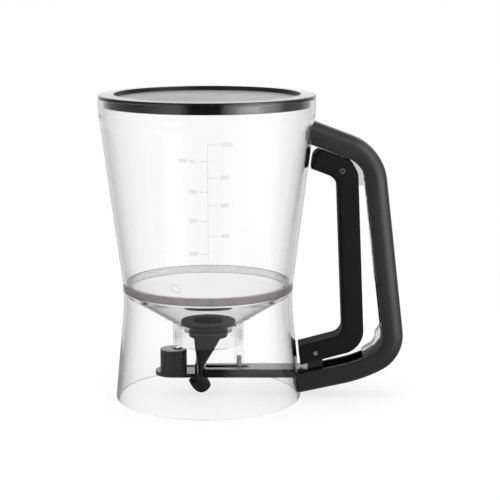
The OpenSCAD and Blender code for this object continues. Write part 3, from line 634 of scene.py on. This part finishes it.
# Corners of the side as x, z and rounding, from the lower end round the open side
trigger_corners = ((60.4435, 22.5188, 1), (102.113, 33.6842, 15), (96.8013, 155.351, 13),
                   (68.6581, 165.986, 6), (66.8787, 151.906, 0), (83.4113, 145.659, 8.5),
                   (87.9149, 42.5101, 7), (59.2643, 34.8332, 0))
shell = bmesh.new()
corners = [shell.verts.new((x * mm, -trigger_w / 2 * mm, z * mm)) for x, z, _ in trigger_corners]
shell.faces.new(corners)
closed = trigger_corners[-1:] + trigger_corners + trigger_corners[:1]
for vert, *three in zip(corners, closed, closed[1:], closed[2:]):
    before, at, after = (Vector(corner[:2]) for corner in three)
    half = (before - at).angle(after - at) / 2
    setback = three[1][2] / math.tan(half)
    if setback:
        bmesh.ops.bevel(shell, geom=[vert], offset=setback * mm, segments=12, profile=0.5,
                        affect="VERTICES", material=-1, clamp_overlap=False)
grown = bmesh.ops.extrude_face_region(shell, geom=list(shell.faces))["geom"]
bmesh.ops.translate(shell, vec=(0, trigger_w * mm, 0),
                    verts=[part for part in grown if isinstance(part, bmesh.types.BMVert)])
bmesh.ops.recalc_face_normals(shell, faces=shell.faces)


def finger_side(face):
    """Whether a face looks towards the hopper, and lies between the shell's ends."""
    return (abs(face.normal.y) < 0.5 and face.normal.x < -0.15
            and face.calc_center_bounds().x > end_x * mm)


long_edges = [edge for edge in shell.edges
              if sorted(finger_side(face) for face in edge.link_faces) == [False, True]
              and any(abs(face.normal.y) > 0.9 for face in edge.link_faces)]
bmesh.ops.bevel(shell, geom=long_edges, offset=finger_round * mm, segments=8, profile=0.5,
                affect="EDGES", material=-1, clamp_overlap=False)
shell.faces.ensure_lookup_table()
open_faces = [face for face in shell.faces
              if abs(face.normal.y) < 0.1 and (face.normal.x > 0.15 or face.normal.z < -0.9
                                               or face.calc_center_bounds().x < end_x * mm)]
bmesh.ops.delete(shell, geom=open_faces, context="FACES")
for face in [face for face in shell.faces if abs(face.normal.y) > 0.999]:
    y, out = face.calc_center_bounds().y, face.normal.copy()
    rim = list(face.edges)
    bmesh.ops.delete(shell, geom=[face], context="FACES_ONLY")
    for (x, z), r in ((pivot, pivot_hole), (link, link_hole)):
        hole = bmesh.ops.create_circle(
            shell, segments=32, radius=r * mm,
            matrix=Matrix.Translation((x * mm, y, z * mm)) @ Matrix.Rotation(math.pi / 2, 4, "X"))
        rim += dict.fromkeys(edge for vert in hole["verts"] for edge in vert.link_edges)
    bmesh.ops.triangle_fill(shell, use_beauty=True, edges=rim, normal=out)
bmesh.ops.remove_doubles(shell, verts=shell.verts, dist=touching)
bmesh.ops.recalc_face_normals(shell, faces=shell.faces)


def off_leg(face):
    """How far a face is from being the wall at the middle of the leg."""
    return abs(face.normal.y) + abs(face.calc_center_bounds().z - leg_middle * mm)


if min(shell.faces, key=off_leg).normal.x > 0:
    bmesh.ops.reverse_faces(shell, faces=shell.faces)
mesh = bpy.data.meshes.new("trigger_shell")
shell.to_mesh(mesh)
shell.free()
mesh.shade_smooth()
trigger_shell = link_object("trigger_shell", mesh)
wall = trigger_shell.modifiers.new("wall", "SOLIDIFY")
wall.thickness = trigger_wall * mm
wall.offset = -1
wall.use_even_offset = True
soften(trigger_shell, rim_round, angle=50)
mat, _, shader, _ = moulded("trigger_black", (0.009, 0.009, 0.0095), 0.6, 0.75,
                            grain=2200, bump=0.3, deeper=0.2)
shader.inputs["Specular IOR Level"].default_value = 0.12
mesh.materials.append(mat)
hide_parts("trigger")
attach(trigger_shell, "trigger")


# --- Pivot pin, spacer, spring and link pin -------------------------------------------
# The trigger turns on a tubular steel pin with a flared rim, beside a spacer tube and a
# wound torsion spring. A plain steel pin links it to the bar.

finish_node("pivot_spacer", steel("spacer_steel", 0.35)[0])
finish_node("link_pin", steel("link_steel", 0.4, 0.4)[0])
# A smooth copy of the spring's wire. Its coil sits on the pin, and on the real spring the
# lower leg swings with the trigger.
wire = bmesh.new()
wire.from_mesh(nodes["return_spring"].data)
bmesh.ops.remove_doubles(wire, verts=wire.verts, dist=loose)
mesh = bpy.data.meshes.new("wound_spring")
wire.to_mesh(mesh)
wire.free()
mesh.shade_smooth()
mesh.materials.append(steel("spring_steel", 0.22)[0])
wound_spring = link_object("wound_spring", mesh)
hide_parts("return_spring")
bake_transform(wound_spring)
# The pivot pin is a tube; inside its bore's radius it is painted near black, as painted shade
bore_r = 0.95
bright_r = 1.15
mat, tree, shader, shade = steel("pivot_steel", 0.4, 0.28)
place = add(tree, "ShaderNodeTexCoord").outputs["Object"]
across = add(tree, "ShaderNodeVectorMath",
             {0: place, 1: (pivot[0] * mm, 0, pivot[1] * mm)}, operation="SUBTRACT")
flat = add(tree, "ShaderNodeVectorMath", {0: across.outputs[0], 1: (1, 0, 1)},
           operation="MULTIPLY")
from_axis = add(tree, "ShaderNodeVectorMath", {0: flat.outputs[0]}, operation="LENGTH")
outside = add(tree, "ShaderNodeMapRange", {"Value": from_axis.outputs["Value"],
                                           "From Min": bore_r * mm, "From Max": bright_r * mm})
# Painted shade: near black within bore_r of the pin's axis, the steel's colour beyond bright_r
painted_bore_shade = add(tree, "ShaderNodeMix", {0: outside.outputs[0]}, data_type="RGBA")
painted_bore_shade.inputs[6].default_value = (0.01, 0.01, 0.01, 1)
tree.links.new(shade.outputs[2], painted_bore_shade.inputs[7])
tree.links.new(painted_bore_shade.outputs[2], shader.inputs["Base Color"])
finish_node("pivot_pin", mat)


# --- Lid rim --------------------------------------------------------------------------
# The lid's rim is a glossy black ring with a plug that is pushed into the hopper. Its top
# is slightly crowned, with a recess for the panel.

finish_node("lid_rim", moulded("lid_black", (0.008, 0.008, 0.0085), 0.08, 0.13, grain=800,
                               deeper=0.15)[0])


# --- Lid panel ------------------------------------------------------------------------
# A flat grey disc is pressed into the rim's recess. Its finish is a fine satin.

finish_node("lid_panel", moulded("lid_grey", (0.3, 0.3, 0.295), 0.3, 0.42, grain=2500,
                                 bump=0.1, deeper=0.15)[0])
